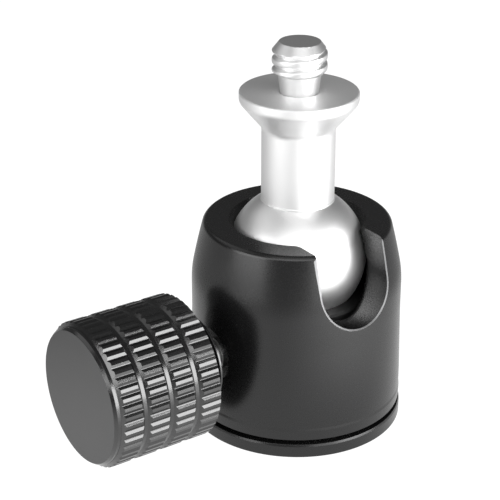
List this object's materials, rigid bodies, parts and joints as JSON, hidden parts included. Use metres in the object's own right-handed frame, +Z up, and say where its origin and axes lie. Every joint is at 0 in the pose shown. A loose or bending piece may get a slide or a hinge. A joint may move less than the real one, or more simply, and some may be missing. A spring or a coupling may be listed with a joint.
{
  "type": "mini ball head tripod adapter",
  "caption": "Mini ball head adapter: round base with a tripod thread, black body with a drop notch, silver ball and stem with a camera stud, knurled clamp knob.",
  "frame": {"origin": "central axis at the underside of the base disc, at the mouth of the tripod thread", "axes": "+Z up along the stem and the pan axis; +X through the drop notch; -Y along the clamp knob"},
  "size_m": [0.0256, 0.0428, 0.0465],
  "materials": {
    "black_anodised": "satin black anodised",
    "plain_aluminium": "turned",
    "bright_aluminium": "fine turned, satin",
    "blasted_aluminium": "bead blasted",
    "knob_metal": "knurled, glossy black anodised",
    "knob_face": "fine blasted black anodised",
    "stud_steel": "rolled thread, plated",
    "steel": "machined",
    "black_steel": "black oxide",
    "slip_plastic": "slip washer",
    "cup_plastic": "moulded"
  },
  "bodies": {
    "base": {"base_disc": "black_anodised", "base_screws": "steel", "tripod_thread_bush": "steel", "pan_hub": "plain_aluminium", "pan_washer_lower": "slip_plastic"},
    "body": {"housing": "black_anodised", "retaining_ring": "black_anodised", "pan_washer_upper": "slip_plastic", "knob_bush": "black_steel"},
    "clamp": {"pressure_ring": "steel", "disc_spring": "steel", "ball_cup": "cup_plastic"},
    "washer": {"knob_washer": "black_steel"},
    "knob": {"knob_shell": "knob_metal", "clamp_screw": "steel", "knob_cap": "knob_face", "knob_grub_screw": "black_steel"},
    "ball_pin": {"ball_lock_screw": "black_steel"},
    "ball": {"ball": "blasted_aluminium"},
    "stem": {"flange_stem": "bright_aluminium", "camera_stud": "stud_steel"}
  },
  "joints": [
    {"name": "pan", "type": "hinge", "parent": "base", "child": "body", "pos_m": [0, 0, 0], "axis": [0, 0, 1], "continuous": true},
    {"name": "knob_travel", "type": "slide", "parent": "body", "child": "washer", "axis": [0, -1, 0], "range_m": [0, 0.00106]},
    {"name": "knob_turn", "type": "hinge", "parent": "washer", "child": "knob", "pos_m": [0, -0.02, 0.0106], "axis": [0, -1, 0], "range_deg": [0, 540]},
    {"name": "clamp_release", "type": "slide", "parent": "body", "child": "clamp", "axis": [0, 0, -1], "range_m": [0, 0.00026]},
    {"name": "ball_side_tilt", "type": "hinge", "parent": "body", "child": "ball_pin", "pos_m": [0, 0, 0.0205], "axis": [1, 0, 0], "range_deg": [-22, 22]},
    {"name": "ball_fore_tilt", "type": "hinge", "parent": "ball_pin", "child": "ball", "pos_m": [0, 0, 0.0205], "axis": [0, 1, 0], "range_deg": [-22, 90]},
    {"name": "stem_turn", "type": "hinge", "parent": "ball", "child": "stem", "pos_m": [0, 0, 0.0205], "axis": [0, 0, 1], "continuous": true}
  ],
  "couplings": [
    {"joint": "knob_travel", "follows": "knob_turn", "m_per_rad": 0.00011141},
    {"joint": "clamp_release", "follows": "knob_turn", "m_per_rad": 0.000026526}
  ]
}
